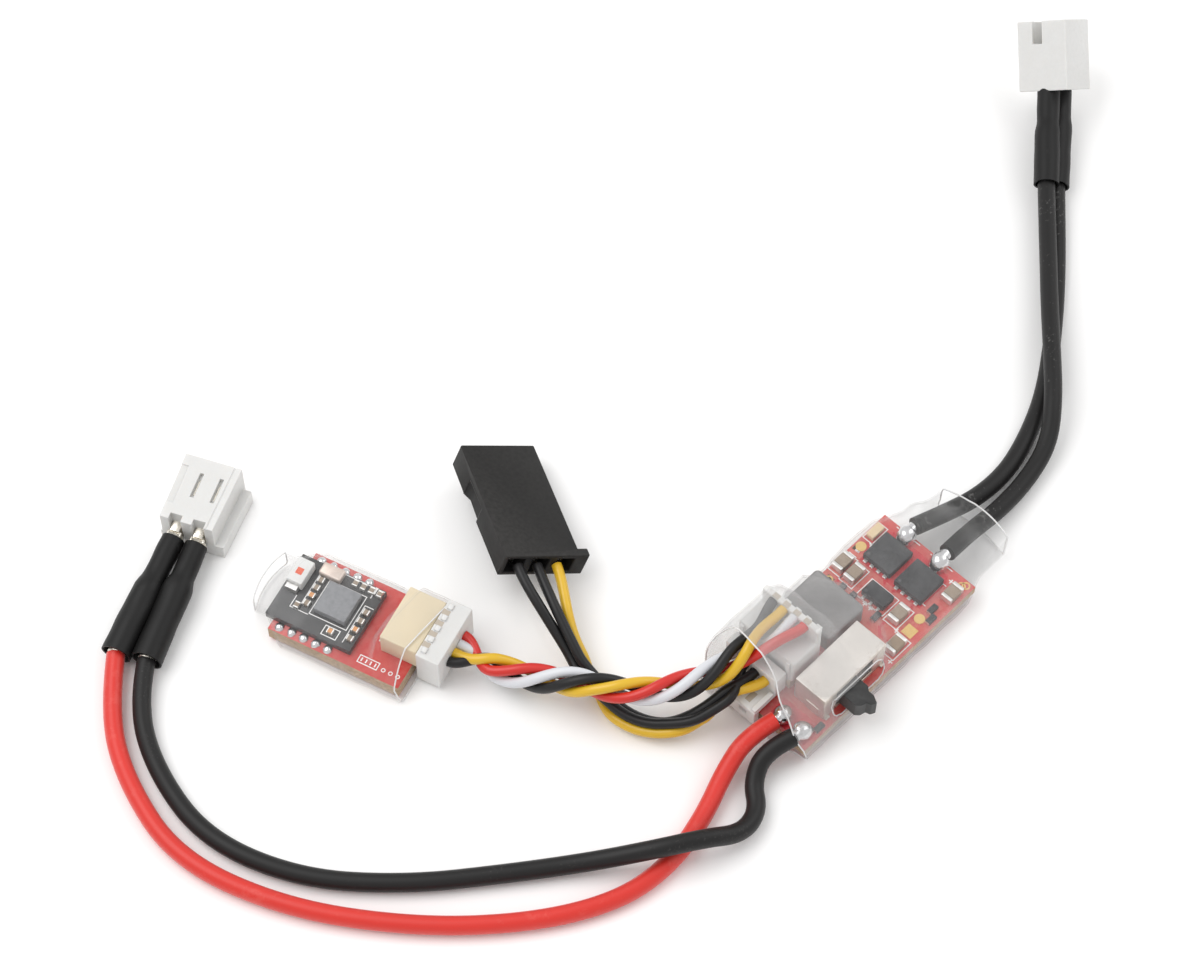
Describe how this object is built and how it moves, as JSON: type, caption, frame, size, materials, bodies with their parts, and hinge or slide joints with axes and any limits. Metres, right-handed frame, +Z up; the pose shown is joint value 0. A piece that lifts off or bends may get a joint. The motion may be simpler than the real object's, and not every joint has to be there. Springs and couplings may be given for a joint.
{
  "type": "electronic speed controller",
  "caption": "Small brushed-motor speed controller in a clear sleeve, with a side power switch, a wireless module on a twisted cable, and leads for battery, motor and servo",
  "frame": {"origin": "centre of the flat underside of the main board's sleeve, where tape holds it", "axes": "+Z up away from the taped face, +X along the main board from the battery end to the motor end, +Y across it away from the slide switch"},
  "size_m": [0.1254, 0.064, 0.0104],
  "materials": {
    "red_board": "solder mask over glass laminate",
    "clear_sleeve": "milky clear heat-shrink film",
    "black_package": "moulded chip package",
    "coil_body": "moulded powdered-iron block",
    "capacitor_ceramic": "fired ceramic",
    "tinned_metal": "tin-plated",
    "solder": "bright solder",
    "led_lens": "clear epoxy",
    "gold_pad": "gold-plated copper",
    "switch_tin": "warm tin plating",
    "switch_insulator": "phenolic",
    "black_nylon": "moulded nylon",
    "white_nylon": "moulded nylon",
    "cream_nylon": "moulded nylon",
    "black_board": "black solder mask",
    "antenna_ceramic": "white ceramic",
    "crystal_can": "lapped metal lid",
    "contact_metal": "plated phosphor bronze",
    "red_silicone": "silicone insulation",
    "black_silicone": "silicone insulation",
    "black_shrink": "heat-shrink tube",
    "mixed_wires": "insulated wires in several colours"
  },
  "bodies": {
    "main": {"battery_connector": "white_nylon", "battery_contacts": "contact_metal", "battery_shrink_tubes": "black_shrink", "battery_solder_joints": "solder", "battery_wire_black": "black_silicone", "battery_wire_red": "red_silicone", "board_header_four_pin": "cream_nylon", "board_header_four_pins": "contact_metal", "board_header_three_pin": "cream_nylon", "board_header_three_pins": "contact_metal", "capacitor_bodies": "capacitor_ceramic", "capacitor_ends": "tinned_metal", "castellation_solder": "solder", "chip_antenna": "antenna_ceramic", "controller_chip": "black_package", "crystal": "crystal_can", "esc_board": "red_board", "esc_sleeve": "clear_sleeve", "gate_driver_chip": "black_package", "module_board": "red_board", "module_cable": "mixed_wires", "module_cable_board_plug": "white_nylon", "module_cable_plug": "white_nylon", "module_header": "cream_nylon", "module_header_pins": "contact_metal", "module_sleeve": "clear_sleeve", "motor_connector": "white_nylon", "motor_contacts": "contact_metal", "motor_shrink_tubes": "black_shrink", "motor_solder_joints": "solder", "motor_wire_back": "black_silicone", "motor_wire_front": "black_silicone", "power_inductor": "coil_body", "power_transistors": "black_package", "radio_board": "black_board", "radio_chip": "black_package", "radio_small_parts": "capacitor_ceramic", "servo_cable": "mixed_wires", "servo_contacts": "contact_metal", "servo_housing": "black_nylon", "servo_lead_board_plug": "white_nylon", "small_resistors": "black_package", "status_led": "led_lens", "switch_base": "switch_insulator", "switch_can": "switch_tin", "switch_contacts": "contact_metal", "test_pads": "gold_pad", "voltage_regulator": "black_package"},
    "switch_slider": {"switch_lever": "black_nylon", "switch_wiper": "contact_metal"}
  },
  "joints": [
    {"name": "switch_slide", "type": "slide", "parent": "main", "child": "switch_slider", "axis": [1, 0, 0], "range_m": [0, 0.002]}
  ]
}
